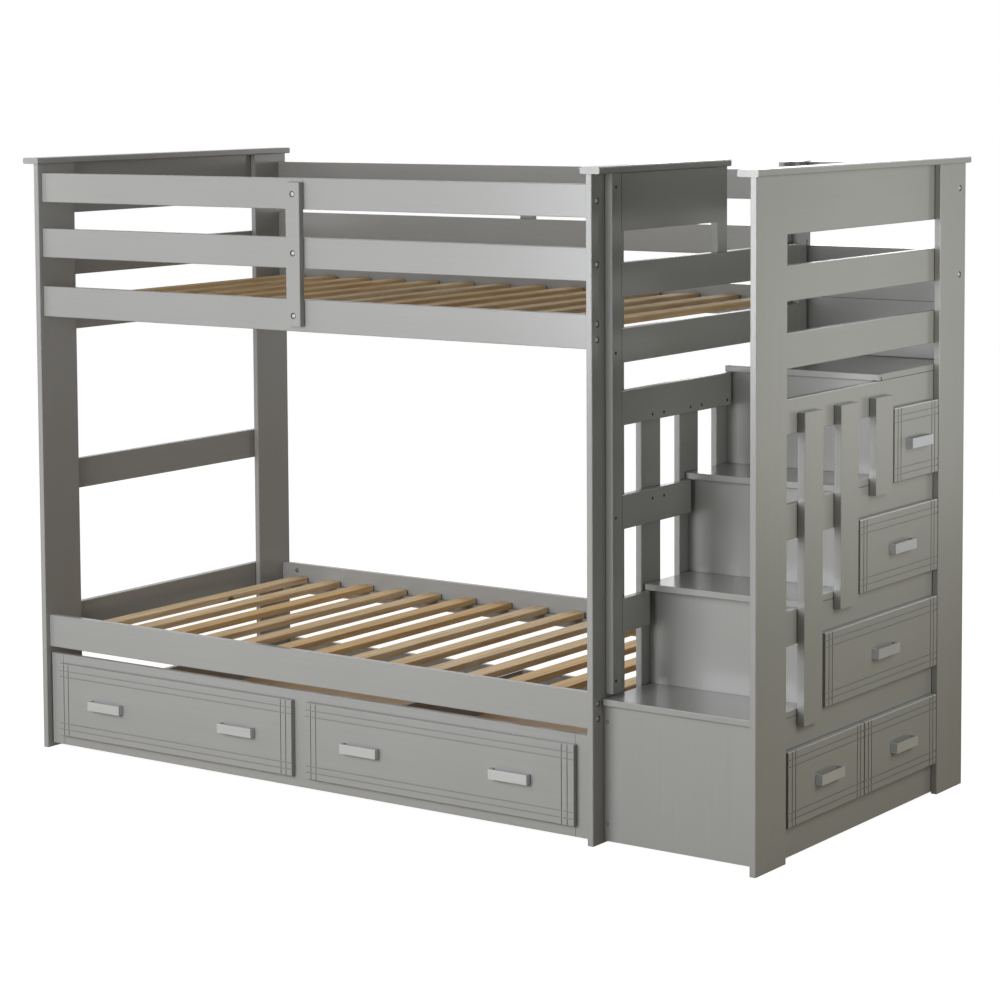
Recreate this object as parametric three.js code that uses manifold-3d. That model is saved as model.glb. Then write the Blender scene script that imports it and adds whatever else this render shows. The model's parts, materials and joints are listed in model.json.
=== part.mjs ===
// Bunk bed with a rolling trundle and a stair cabinet with five drawers.
// Millimetres. X runs along the bed, Y from the front to the back, Z up from the floor.
import * as THREE from 'three';
import * as BufferGeometryUtils from 'three/addons/utils/BufferGeometryUtils.js';
import Module from 'manifold-3d';

const wasm = await Module();
wasm.setup();

// Boards
const POST_T = 18;            // post thickness, along X
const POST_W = 156;           // post width, along Y
const POST_H = 1754;          // post height, up to the caps
const RAIL_T = 22;            // thickness of rails, panels and battens
const CAP_T = 18;             // cap thickness
const CAP_W = 60;             // cap width across the end frame
const CAP_LIP = 11;           // how far a cap passes the posts' plain face
const CAP_END = 11;           // how far it passes the posts' edges
const CAP_SHORT = 7;          // how far the short cap passes the stile
const CAP_EASE = 3;           // its eased edges
const EASE = 1.5;             // eased long edges
const SEAT = 0.3;             // play between pieces that are screwed together
const GLUE = 1;               // how far glued boards run into each other
const SEAM = 1.2;             // width and depth of a joint line

// Overall layout
const BUNK_L = 1966;          // over the two bunk end frames' posts
const BUNK_D = 1163;          // over the front and rear posts
const STAIR_W = 472;          // clear width of the stairs
const OUTER_Y0 = -12;         // front edge of the outer end frame
const OUTER_SHORT = 6;        // its rear edge stops this far before the bunk's

// End frame boards
const PANEL_H = 151;          // height of the deep top panels
const GUARD_END_DROP = 320;   // underside of the guard rail below the posts' tops
const BED_END_DROP = 38;      // underside of the upper bed's end rail below the side rails'
const LEFT_GUARD_DROP = 338;  // the left frame's guard rail, below the posts' tops
const LEFT_BED_DROP = 50;     // and its end rail, below the side rails' undersides
const INNER_SINK = 3;         // the right frame's two rails sit this much lower
const MID_END_Z = 765;        // underside of the left frame's middle rail
const LOW_END_UP = 20;        // underside of the lower bed's end rail above the side rails'
const END_RAIL_H = 90;        // height of every end rail
const BATTEN_W = 47;          // batten width, along Y
const BATTEN_IN = 63;         // batten's distance from the post's outer edge
const BATTEN_FOOT = 11;       // battens start this far above the floor or a tread
const STILE_W = 52;           // short stile that closes the top panel at the gap
const STILE_GAP = 24;         // its distance from the landing's nosing

// Long rails
const RAIL_IN = 16;           // long rails set back from the posts' outer edges
const GUARD_H = 86;           // height of a guard rail
const GUARD_DROP = [113, 277]; // undersides of the two guard rails below the posts' tops
const UPPER_DROP = 453;       // underside of the upper side rails below the posts' tops
const UPPER_H = 90;           // their height
const LOWER_Z = 306;          // underside of the lower side rails
const LOWER_H = 96;           // their height
const STRAP_OFF = 2.5;        // strap that ties the long rails, beside their middle
const STRAP_W = 49;           // strap width
const STRAP_T = 20;           // strap thickness
const STRAP_UP = 16;          // its foot above the upper side rail's underside
const STRAP_DROP = 38;        // its top below the posts' tops

// Slat decks
const SLAT_W = 54;            // slat width
const SLAT_T = 18;            // slat thickness
const SLAT_COUNT = 14;        // slats in each deck
const SLAT_END = 84;          // centre of the first slat from the post
const UPPER_SLAT_DROP = 30;   // upper slats' tops below their side rails' top edges
const LOWER_SLAT_DROP = 39;   // and the lower ones'
const SLAT_PLAY = 1;          // slats stop this far short of the rails
const LEDGE_W = 22;           // ledge strip, across the bed
const LEDGE_H = 24;           // ledge strip height
const LEDGE_END = 42;         // ledge strip stops short of the posts by this

// Stairs
const TREAD_T = 18;           // tread thickness
const NOSE_Y = [43, 250, 461, 674];   // nosings, from the first tread to the landing
const RISER_Y = [55, 280, 481, 686];  // riser fronts
const STEP_1 = 384;           // top of the first tread
const LANDING_DROP = 59;      // landing's top below the upper bed's end rail
const RISER_T = 18;           // riser thickness
const NOSE_R = 4;             // rounded front corners of the treads
const FLOOR_GAP = 5;          // cabinet boards stop this far above the floor
const RAIL_SHORT = 7;         // stepped rails end this far before the next nosing
const INNER_RAIL_EXTRA = 3;   // the inner ones reach this much further
const STEP_RAIL_LIFT = 3;     // the outer ones' top edge above the underside of that tread
const BAL_W = 97;             // baluster width
const BAL_PITCH = 195.5;      // baluster spacing
const BAL_OUT_Y = 231;        // first outer baluster
const BAL_IN_Y = 239;         // first inner baluster
const BAL_OUT_T = 22;         // outer balusters stand just proud of the posts
const BAL_DROP = 57;          // baluster tops below the landing's top
const BAL_BELOW = 27;         // baluster foot below the underside of its tread
const OUTER_LAP = 72;         // outer frame boards start this far behind the post's front
const BACK_IN = 23;           // stair's rear boards in from the bunk's rear edge
const REAR_GAP = [242, 148];  // gap between the two boards above the landing, below the posts' tops
const REAR_JOINT = 388;       // joint line in the lower one, below the posts' tops
const REAR_TOP_IN = 2;        // upper board's top below the posts' tops
const REAR_BOLT_IN = 35;      // their bolts from the outer rear post's rear edge
const REAR_BOLT_Z = [309, 69];  // and below its top
const SHELF_T = 15;           // cabinet shelf thickness
const SHELF_DROP = 26;        // shelf top below the drawer fronts over it

// Drawer fronts, one entry for each step from the floor up. The lowest row holds two drawers.
const FRONT_IN = [100, 69, 58, 47];     // left edge behind the riser's front
const FRONT_LOW = [89, -18, -22, -23];  // lower edge from the floor or from the tread before it
const FRONT_DROP = [99, 96, 99, 96];    // upper edge below its own step's top
const FRONT_END = 8;          // right edge before the outer rear post
const FRONT_SPLIT = 568.5;    // middle of the gap between the two lowest fronts
const FRONT_GAP = 5;          // that gap
const FRONT_T = 18;           // overlay front thickness
const OVERLAY = 12;           // front passes its opening by this on every side
const BOX_SIDE_GAP = 13;      // room for the runner beside the box
const BOX_TOP_GAP = 22;       // box sides below the opening's top
const BOX_LIFT = 5;           // box bottom edge above the opening's bottom
const BOX_T = 12;             // box wall thickness
const BOX_BASE_T = 5;         // box bottom thickness
const BOX_BASE_LIFT = 10;     // box bottom above the lower edge of the sides
const BOX_BACK_GAP = 24;      // clearance behind the box
const RUNNER_W = 18;          // wooden runner, across
const RUNNER_H = 26;          // runner height beside the box
const RUNNER_FOOT = 10;       // its ledge under the box side
const RUNNER_FOOT_T = 6;      // ledge thickness
const RUNNER_PLAY = 4;        // play between the runner and the box side

// Crossed double grooves on the drawer fronts and false fronts
const GROOVES_IN = [20, 38];  // groove centres from each edge
const GROOVE_W = 3;           // groove width
const GROOVE_DEEP = 2;        // groove depth

// Handles
const HANDLE_L = 124;         // length
const HANDLE_H = 27;          // face height
const HANDLE_OUT = 20;        // how far the face stands off
const HANDLE_T = 4;           // face thickness
const HANDLE_LEG = 7;         // leg thickness

// Trundle
const TRUNDLE_GAP = 4;        // play to the posts at each end
const TRUNDLE_Y = 20;         // front board set back from the posts' front edges
const TRUNDLE_T = 18;         // board thickness
const TRUNDLE_FOOT = 12;      // front board's lower edge above the floor
const TRUNDLE_DROP = 19;      // its upper edge below the lower side rail
const TRUNDLE_STILE = 46;     // end stiles of the front board
const FALSE_END = 41;         // false drawer fronts, in from the front board's ends
const FALSE_MID = [-28, 22];  // their inner edges from its middle
const FALSE_Z = [31, 27];     // and in from its lower and upper edge
const FALSE_T = 16;           // their thickness
const FALSE_HANDLE_X = 251;   // handles' distance from the middle of a false front
const SIDE_IN = 25;           // side boards in from the front board's ends
const SIDE_Z = [30, 160];     // side, middle and rear boards
const TRUNDLE_BACK_IN = 45;   // rear face of the trundle in from the bunk's rear edge
const TPANEL_TOP = 62;        // top of the mattress panels
const TPANEL_T = 9;           // their thickness
const TPANEL_PLAY = 1;        // they stop this far short of the boards
const WHEEL_R = 25;           // wheel radius
const WHEEL_W = 20;           // wheel width
const AXLE_R = 4;             // axle radius
const AXLE_HEAD = 4;          // axle's end past the wheel
const AXLE_PLAY = 0.4;        // bore's play on the axle
const WHEEL_OFF = 4;          // wheel's distance from the side board
const WHEEL_INSET = 92;       // axle's distance from the trundle's front and rear faces
const WHEEL_FLOOR = 0.5;      // clearance at rest
const HUB_R = 11;             // washer boss between the board and the wheel

// Bolts
const HOLE_R = 9;             // counterbore radius
const HOLE_DEEP = 4.5;        // counterbore depth
const BOLT_R = 7;             // button head radius
const BOLT_H = 3.6;           // head height
const HEX_R = 3;              // socket corner radius
const HEX_DEEP = 1.8;         // socket depth
const BOLT_IN = 27;           // bolt line from the post's outer edge
const BOLT_PAIR = 40;         // spacing of the two bolts in a side rail

// Values that follow from the above
const RIGHT_X = BUNK_L - POST_T;             // inner face of the right bunk frame
const LAYER_X = BUNK_L + RAIL_T;             // outer face of its boards
const OUTER_X = BUNK_L + STAIR_W;            // inner face of the outer frame's posts
const OUTER_LAYER_X = OUTER_X - RAIL_T;      // inner face of the outer frame's boards
const OUTER_FACE_X = OUTER_X + POST_T;       // outer face of its posts
const OUTER_Y1 = BUNK_D - OUTER_SHORT;       // rear edge of the outer frame
const PANEL_Z = POST_H - PANEL_H;
const GUARD_END_Z = POST_H - GUARD_END_DROP;
const GUARD_Z = GUARD_DROP.map((drop) => POST_H - drop);
const UPPER_Z = POST_H - UPPER_DROP;
const BED_END_Z = UPPER_Z - BED_END_DROP;
const LEFT_GUARD_Z = POST_H - LEFT_GUARD_DROP;
const LEFT_BED_Z = UPPER_Z - LEFT_BED_DROP;
const LOW_END_Z = LOWER_Z + LOW_END_UP;
const STRAP_X = BUNK_L / 2 + STRAP_OFF - STRAP_W / 2;
const STRAP_Z = [UPPER_Z + STRAP_UP, POST_H - STRAP_DROP];
const BATTEN_END = BATTEN_IN + BATTEN_W;     // where the end boards begin
const END_Y = [BATTEN_END + SEAT, BUNK_D - BATTEN_END - SEAT];
const LONG_X = [POST_T + SEAT, RIGHT_X - SEAT];
const FRONT_RAIL_Y = [RAIL_IN, RAIL_IN + RAIL_T];
const REAR_RAIL_Y = [BUNK_D - RAIL_IN - RAIL_T, BUNK_D - RAIL_IN];
const STAIR_X = [BUNK_L + SEAT, OUTER_X - SEAT];
const CASE_X = [LAYER_X + SEAT, OUTER_LAYER_X - SEAT];
const BACK_Y = BUNK_D - BACK_IN - RAIL_T;    // front face of the stair's rear boards
const BACK_END = BACK_Y - SEAT;              // where the cabinet boards stop
const LANDING = BED_END_Z - LANDING_DROP;    // top of the landing
const RISE = (LANDING - STEP_1) / (NOSE_Y.length - 1);
const STEPS = NOSE_Y.map((nose, k) => ({ nose, riser: RISER_Y[k], top: STEP_1 + k * RISE }));
const STILE_Y = NOSE_Y[3] - STILE_GAP - STILE_W;
const BAL_TOP = LANDING - BAL_DROP;
const FRONT_RIGHT = OUTER_Y1 - POST_W - FRONT_END;
const DRAWERS = [
  frontOver('drawer_1', 3),
  frontOver('drawer_2', 2),
  frontOver('drawer_3', 1),
  frontOver('drawer_4', 0, [RISER_Y[0] + FRONT_IN[0], FRONT_SPLIT - FRONT_GAP / 2]),
  frontOver('drawer_5', 0, [FRONT_SPLIT + FRONT_GAP / 2, FRONT_RIGHT]),
];
const TRUNDLE_X = [POST_T + TRUNDLE_GAP, RIGHT_X - TRUNDLE_GAP];
const TRUNDLE_Z = [TRUNDLE_FOOT, LOWER_Z - TRUNDLE_DROP];
const TRUNDLE_BACK = BUNK_D - TRUNDLE_BACK_IN;

// Limits of the overlay front under a step.
function frontOver(name, step, y = [RISER_Y[step] + FRONT_IN[step], FRONT_RIGHT]) {
  const below = step ? STEPS[step - 1].top : 0;
  return { name, step, y, z: [below + FRONT_LOW[step], STEPS[step].top - FRONT_DROP[step]] };
}

// Materials
const finish = (color, roughness, metalness) => (name) => new THREE.MeshStandardMaterial({
  name, color, roughness, metalness,
});
const paint = finish(0x9a9994, 0.45, 0);
const pine = finish(0xc2a276, 0.7, 0);
const ply = finish(0xcdb48a, 0.75, 0);
const nickel = finish(0xcfd0cd, 0.32, 1);
const nylon = finish(0x2b2b2c, 0.6, 0);

// A board between two limits on each axis, with its four long edges eased.
function board(x, y, z, ease = EASE) {
  const low = [x[0], y[0], z[0]];
  const size = [x[1] - x[0], y[1] - y[0], z[1] - z[0]];
  const along = size.indexOf(Math.max(...size));
  const a = (along + 1) % 3;
  const b = (along + 2) % 3;
  const w = size[a];
  const h = size[b];
  const e = Math.min(ease, w / 4, h / 4);
  const outline = new THREE.Shape();
  if (e > 0) {
    outline.moveTo(e, 0);
    outline.lineTo(w - e, 0);
    outline.lineTo(w, e);
    outline.lineTo(w, h - e);
    outline.lineTo(w - e, h);
    outline.lineTo(e, h);
    outline.lineTo(0, h - e);
    outline.lineTo(0, e);
  } else {
    outline.moveTo(0, 0);
    outline.lineTo(w, 0);
    outline.lineTo(w, h);
    outline.lineTo(0, h);
  }
  outline.closePath();
  const geometry = new THREE.ExtrudeGeometry(outline, { depth: size[along], bevelEnabled: false });
  const axes = [new THREE.Vector3(1, 0, 0), new THREE.Vector3(0, 1, 0), new THREE.Vector3(0, 0, 1)];
  geometry.applyMatrix4(new THREE.Matrix4().makeBasis(axes[a], axes[b], axes[along]));
  geometry.translate(...low);
  return geometry;
}

// Positions only, with shared vertices merged, as the solid joins and cuts need them.
function welded(geometry) {
  const plain = geometry.clone();
  for (const key of Object.keys(plain.attributes)) {
    if (key !== 'position') plain.deleteAttribute(key);
  }
  plain.clearGroups();
  return BufferGeometryUtils.mergeVertices(plain, 1e-4);
}

function toSolid(geometry) {
  const g = welded(geometry);
  const mesh = new wasm.Mesh({
    numProp: 3,
    vertProperties: new Float32Array(g.attributes.position.array),
    triVerts: new Uint32Array(g.index.array),
  });
  return new wasm.Manifold(mesh);
}

function fromSolid(solid) {
  const mesh = solid.getMesh();
  const g = new THREE.BufferGeometry();
  g.setAttribute('position', new THREE.BufferAttribute(new Float32Array(mesh.vertProperties), 3));
  g.setIndex(Array.from(mesh.triVerts));
  return g;
}

function cut(geometry, tools) {
  let solid = toSolid(geometry);
  for (const tool of tools) solid = solid.subtract(toSolid(tool));
  return fromSolid(solid);
}

function join(geometries) {
  let solid = toSolid(geometries[0]);
  for (const g of geometries.slice(1)) solid = solid.add(toSolid(g));
  return fromSolid(solid);
}

// One named mesh, placed at its own middle.
function piece(parent, name, material, solid) {
  const geometry = welded(solid).toNonIndexed();
  geometry.computeBoundingBox();
  const middle = new THREE.Vector3();
  geometry.boundingBox.getCenter(middle);
  geometry.translate(-middle.x, -middle.y, -middle.z);
  geometry.computeVertexNormals();
  const mesh = new THREE.Mesh(geometry, material);
  mesh.name = name;
  mesh.position.copy(middle);
  parent.add(mesh);
  return mesh;
}

const high = (z, h) => [z, z + h];
const middleOf = (span) => (span[0] + span[1]) / 2;

// Button-head bolts in counterbores, each given as a point on the face and the way it looks.
function bolted(geometry, spots) {
  const profile = [
    [0, -HOLE_DEEP - GLUE], [BOLT_R, -HOLE_DEEP - GLUE],
    [BOLT_R * 0.7, -HOLE_DEEP + BOLT_H], [0, -HOLE_DEEP + BOLT_H],
  ].map(([r, h]) => new THREE.Vector2(r, h));
  let solid = toSolid(geometry);
  for (const { at, out } of spots) {
    const hole = new THREE.CylinderGeometry(HOLE_R, HOLE_R, HOLE_DEEP + GLUE, 10);
    hole.translate(0, (GLUE - HOLE_DEEP) / 2, 0);
    const socket = new THREE.CylinderGeometry(HEX_R, HEX_R, HEX_DEEP + GLUE, 6);
    socket.translate(0, BOLT_H - HOLE_DEEP + (GLUE - HEX_DEEP) / 2, 0);
    const turn = new THREE.Quaternion().setFromUnitVectors(new THREE.Vector3(0, 1, 0), out);
    const [h, head, hex] = [hole, new THREE.LatheGeometry(profile, 10), socket].map((g) => {
      g.applyQuaternion(turn);
      g.translate(...at);
      return toSolid(g);
    });
    solid = solid.subtract(h).add(head).subtract(hex);
  }
  return fromSolid(solid);
}

const LEFT = new THREE.Vector3(-1, 0, 0);
const RIGHT = new THREE.Vector3(1, 0, 0);
const FRONT = new THREE.Vector3(0, -1, 0);
const REAR = new THREE.Vector3(0, 1, 0);

// Heights of the bolts that hold the long rails to a post.
function boltHeights() {
  const heights = GUARD_Z.map((z) => z + GUARD_H / 2);
  for (const [z, h] of [[UPPER_Z, UPPER_H], [LOWER_Z, LOWER_H]]) {
    heights.push(z + h / 2 - BOLT_PAIR / 2, z + h / 2 + BOLT_PAIR / 2);
  }
  return heights;
}

// The bunk's four posts. The right ones carry the batten that the end boards butt against.
function bunkPosts(group) {
  const rearY = [BUNK_D - POST_W, BUNK_D];
  const stand = [0, POST_H];
  const leftX = [0, POST_T];
  const rightX = [RIGHT_X, BUNK_L];
  const battenX = [BUNK_L - GLUE, LAYER_X];
  const z = boltHeights();
  const row = (x, y, out, heights) => heights.map((h) => ({ at: [x, y, h], out }));
  piece(group, 'left_front_post', paint('grey_paint'),
    bolted(board(leftX, [0, POST_W], stand), row(0, BOLT_IN, LEFT, z)));
  piece(group, 'left_rear_post', paint('grey_paint'),
    bolted(board(leftX, rearY, stand), row(0, BUNK_D - BOLT_IN, LEFT, z)));
  const front = join([
    board(rightX, [0, POST_W], stand),
    board(battenX, [BATTEN_IN, BATTEN_END], [STEPS[0].top + BATTEN_FOOT, POST_H]),
  ]);
  piece(group, 'right_front_post', paint('grey_paint'), bolted(front, row(BUNK_L, BOLT_IN, RIGHT, z)));
  const rear = join([
    board(rightX, rearY, stand),
    board(battenX, [BUNK_D - BATTEN_END, BUNK_D - BATTEN_IN], [STEPS[3].top + SEAT, POST_H]),
  ]);
  piece(group, 'right_rear_post', paint('grey_paint'),
    bolted(rear, row(BUNK_L, BUNK_D - BOLT_IN, RIGHT, [z[1]])));
}

function outerPosts(group) {
  const x = [OUTER_X, OUTER_FACE_X];
  const stand = [0, POST_H];
  piece(group, 'outer_front_post', paint('grey_paint'), board(x, [OUTER_Y0, OUTER_Y0 + POST_W], stand));
  const boltY = OUTER_Y1 - REAR_BOLT_IN;
  const spots = REAR_BOLT_Z.map((z) => ({ at: [OUTER_FACE_X, boltY, POST_H - z], out: RIGHT }));
  piece(group, 'outer_rear_post', paint('grey_paint'),
    bolted(board(x, [OUTER_Y1 - POST_W, OUTER_Y1], stand), spots));
}

function caps(group) {
  const z = high(POST_H + SEAT, CAP_T);
  const list = [
    ['left_cap', [POST_T + CAP_LIP - CAP_W, POST_T + CAP_LIP], [-CAP_END, BUNK_D + CAP_END]],
    ['right_cap', [RIGHT_X - CAP_LIP, RIGHT_X - CAP_LIP + CAP_W], [-CAP_END, STILE_Y + STILE_W + CAP_SHORT]],
    ['outer_cap', [OUTER_FACE_X + CAP_LIP - CAP_W, OUTER_FACE_X + CAP_LIP],
      [OUTER_Y0 - CAP_END, OUTER_Y1 + CAP_END]],
  ];
  for (const [name, x, y] of list) piece(group, name, paint('grey_paint'), board(x, y, z, CAP_EASE));
}

// Two battens with boards glued between them, as a ladder in one layer.
function ladder(x, y, batten, battenZ, boards) {
  const inner = [y[0] + batten - GLUE, y[1] - batten + GLUE];
  return join([
    board(x, [y[0], y[0] + batten], battenZ),
    board(x, [y[1] - batten, y[1]], battenZ),
    ...boards.map((z) => board(x, inner, z)),
  ]);
}

// End boards of the three frames, in the layer beside the posts.
function endBoards(group) {
  const top = [PANEL_Z, POST_H];
  const leftRails = [LEFT_GUARD_Z, LEFT_BED_Z, MID_END_Z, LOW_END_Z].map((z) => high(z, END_RAIL_H));
  piece(group, 'left_end_ladder', paint('grey_paint'),
    ladder([-RAIL_T, -SEAT], [BATTEN_IN, BUNK_D - BATTEN_IN], BATTEN_W, [BATTEN_FOOT, POST_H],
      [top, ...leftRails]));

  const right = [BUNK_L + SEAT, LAYER_X];
  const guard = high(GUARD_END_Z - INNER_SINK, END_RAIL_H);
  const bed = high(BED_END_Z - INNER_SINK, END_RAIL_H);
  piece(group, 'right_top_panel', paint('grey_paint'), join([
    board(right, [END_Y[0], STILE_Y + GLUE], top),
    board(right, [STILE_Y, STILE_Y + STILE_W], [guard[1] + SEAT, POST_H]),
  ]));
  piece(group, 'right_guard_rail', paint('grey_paint'), board(right, END_Y, guard));
  piece(group, 'right_bed_rail', paint('grey_paint'), board(right, END_Y, bed));

  piece(group, 'outer_end_ladder', paint('grey_paint'),
    ladder([OUTER_LAYER_X, OUTER_X - SEAT], [OUTER_Y0 + OUTER_LAP, BACK_END], BATTEN_W,
      [BED_END_Z, POST_H], [top, high(GUARD_END_Z, END_RAIL_H), high(BED_END_Z, END_RAIL_H)]));
}

// Rails that step down with the stairs, on both sides, with the balusters screwed to them.
// The outer side's top rail runs on under the landing.
function stairRailing(railX, baluster, start, first, extra, lift, underLanding) {
  const joint = baluster[0] < railX[0]
    ? [baluster[1] - GLUE, railX[0] + GLUE] : [railX[1] - GLUE, baluster[0] + GLUE];
  const solids = [];
  const uprights = [0, 1, 2].map((k) => [first + k * BAL_PITCH, first + k * BAL_PITCH + BAL_W]);
  uprights.forEach((y, k) => {
    solids.push(board(baluster, y, [STEPS[k].top - TREAD_T - BAL_BELOW, BAL_TOP]));
  });
  for (const step of STEPS.slice(1)) {
    const under = underLanding && step === STEPS[STEPS.length - 1];
    const end = under ? step.riser - SEAT : step.nose - RAIL_SHORT + extra;
    const top = step.top - TREAD_T + (under ? -SEAT : lift);
    solids.push(board(railX, [start, end], [top - END_RAIL_H, top]));
    for (const y of uprights.filter((span) => span[0] + 2 * EASE < end)) {
      solids.push(board(joint, [y[0] + EASE, Math.min(y[1], end) - EASE],
        [top - END_RAIL_H + EASE, Math.min(top, BAL_TOP) - EASE], 0));
    }
  }
  return join(solids);
}

function stairRailings(group) {
  piece(group, 'inner_stair_railing', paint('grey_paint'), stairRailing([BUNK_L + SEAT, LAYER_X],
    [RIGHT_X, BUNK_L], END_Y[0], BAL_IN_Y, INNER_RAIL_EXTRA, STEP_RAIL_LIFT - INNER_SINK, false));
  piece(group, 'outer_stair_railing', paint('grey_paint'), stairRailing([OUTER_LAYER_X, OUTER_X - SEAT],
    [OUTER_X, OUTER_X + BAL_OUT_T], OUTER_Y0 + OUTER_LAP, BAL_OUT_Y, 0, STEP_RAIL_LIFT, true));
}

// Long guard rails, tied together and to the side rail by a strap.
function guardRails(group) {
  const strapX = high(STRAP_X, STRAP_W);
  const heights = [...GUARD_Z.map((z) => z + GUARD_H / 2), UPPER_Z + UPPER_H / 2];
  const sides = [
    ['front', FRONT_RAIL_Y, [RAIL_IN - STRAP_T, RAIL_IN], FRONT],
    ['rear', REAR_RAIL_Y, [REAR_RAIL_Y[1], REAR_RAIL_Y[1] + STRAP_T], REAR],
  ];
  for (const [side, railY, strapY, out] of sides) {
    const face = out === FRONT ? strapY[0] : strapY[1];
    const glued = out === FRONT ? [railY[0] - GLUE, railY[1]] : [railY[0], railY[1] + GLUE];
    const clear = out === FRONT ? [strapY[0], strapY[1] - SEAT] : [strapY[0] + SEAT, strapY[1]];
    const whole = join([
      ...GUARD_Z.map((z) => board(LONG_X, railY, high(z, GUARD_H))),
      ...GUARD_Z.map((z) => board([strapX[0] + EASE, strapX[1] - EASE], glued,
        [z + EASE, z + GUARD_H - EASE], 0)),
      board(strapX, clear, STRAP_Z),
    ]);
    const spots = heights.map((z) => ({ at: [STRAP_X + STRAP_W / 2, face, z], out }));
    piece(group, `${side}_guard`, paint('grey_paint'), bolted(whole, spots));
  }
}

// Two ledge strips along X, glued under whatever they carry.
function ledges(x, y, under) {
  const z = [under - LEDGE_H, under + GLUE];
  return [
    board(x, [y[0] + SEAT, y[0] + LEDGE_W], z, 0),
    board(x, [y[1] - LEDGE_W, y[1] - SEAT], z, 0),
  ];
}

// Slats along Y on their ledges.
function slatDeck(x, y, top, centres) {
  const slats = centres.map((c) => board([c - SLAT_W / 2, c + SLAT_W / 2],
    [y[0] + SLAT_PLAY, y[1] - SLAT_PLAY], [top - SLAT_T, top], 1));
  return join([...slats, ...ledges(x, y, top - SLAT_T)]);
}

// A plain panel on its ledges.
function panelDeck(x, y, top) {
  const panel = board([x[0] + TPANEL_PLAY, x[1] - TPANEL_PLAY], [y[0] + TPANEL_PLAY, y[1] - TPANEL_PLAY],
    [top - TPANEL_T, top], 0);
  return join([panel, ...ledges([x[0] + SEAT, x[1] - SEAT], y, top - TPANEL_T)]);
}

// Evenly spaced centres, the first and last one at the same distance from the ends of a span.
function spaced(span, count, end) {
  const pitch = (span[1] - span[0] - 2 * end) / (count - 1);
  return Array.from({ length: count }, (_, k) => span[0] + end + k * pitch);
}

// Side rails, and the slats on their ledges between them.
function bedDecks(group) {
  const decks = [['upper', UPPER_Z, UPPER_H, UPPER_SLAT_DROP], ['lower', LOWER_Z, LOWER_H, LOWER_SLAT_DROP]];
  for (const [deck, z0, h, drop] of decks) {
    piece(group, `${deck}_front_side_rail`, paint('grey_paint'), board(LONG_X, FRONT_RAIL_Y, high(z0, h)));
    piece(group, `${deck}_rear_side_rail`, paint('grey_paint'), board(LONG_X, REAR_RAIL_Y, high(z0, h)));
    piece(group, `${deck}_slats`, pine('pine_slats'), slatDeck(
      [LONG_X[0] + LEDGE_END, LONG_X[1] - LEDGE_END], [FRONT_RAIL_Y[1], REAR_RAIL_Y[0]],
      z0 + h - drop, spaced([POST_T, RIGHT_X], SLAT_COUNT, SLAT_END)));
  }
}

// A tread with rounded front corners and eased edges.
function tread(nose, back, top) {
  const outline = new THREE.Shape();
  const [x0, x1] = STAIR_X;
  outline.moveTo(x0, back);
  outline.lineTo(x0, nose + NOSE_R);
  outline.absarc(x0 + NOSE_R, nose + NOSE_R, NOSE_R, Math.PI, 1.5 * Math.PI, false);
  outline.lineTo(x1 - NOSE_R, nose);
  outline.absarc(x1 - NOSE_R, nose + NOSE_R, NOSE_R, 1.5 * Math.PI, 2 * Math.PI, false);
  outline.lineTo(x1, back);
  outline.closePath();
  const ease = 2;
  const thick = TREAD_T - SEAT;
  const geometry = new THREE.ExtrudeGeometry(outline, {
    depth: thick - 2 * ease,
    bevelThickness: ease,
    bevelSize: ease,
    bevelOffset: -ease,
    bevelSegments: 2,
    curveSegments: 5,
  });
  geometry.translate(0, 0, top - thick + ease);
  return geometry;
}

function stairs(group) {
  STEPS.forEach((step, k) => {
    const next = STEPS[k + 1];
    const back = next ? next.riser + RISER_T - SEAT : BACK_END;
    piece(group, next ? `stair_tread_${k + 1}` : 'stair_landing', paint('grey_paint'),
      tread(step.nose, back, step.top));
  });
}

// The stepped outline that the cabinet sides share, as one plate.
function steppedPlate(x, play = 0) {
  return join(STEPS.map((step) => board(x, [step.riser + RISER_T + play, BACK_END],
    [FLOOR_GAP, step.top - TREAD_T], 0)));
}

function opening(drawer) {
  return {
    y: [drawer.y[0] + OVERLAY, drawer.y[1] - OVERLAY],
    z: [drawer.z[0] + OVERLAY, drawer.z[1] - OVERLAY],
  };
}

function boxLimits(drawer) {
  const o = opening(drawer);
  return {
    x: [LAYER_X + BOX_BACK_GAP, OUTER_X + SEAT],
    y: [o.y[0] + BOX_SIDE_GAP, o.y[1] - BOX_SIDE_GAP],
    z: [o.z[0] + BOX_LIFT, o.z[1] - BOX_TOP_GAP],
  };
}

// The two L-shaped runners that carry a drawer box by the lower edges of its sides.
function runners(x, drawer) {
  const { y, z } = boxLimits(drawer);
  const foot = z[0] - SEAT;
  const low = foot - RUNNER_FOOT_T;
  const walls = [
    [y[0] - RUNNER_PLAY - RUNNER_W, y[0] - RUNNER_PLAY],
    [y[1] + RUNNER_PLAY, y[1] + RUNNER_PLAY + RUNNER_W],
  ];
  const feet = [
    [walls[0][0], y[0] + RUNNER_FOOT],
    [y[1] - RUNNER_FOOT, walls[1][1]],
  ];
  return [
    ...walls.map((wall) => board(x, wall, [low, foot + RUNNER_H], 0)),
    ...feet.map((ledge) => board(x, ledge, [low, foot], 0)),
  ];
}

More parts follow.
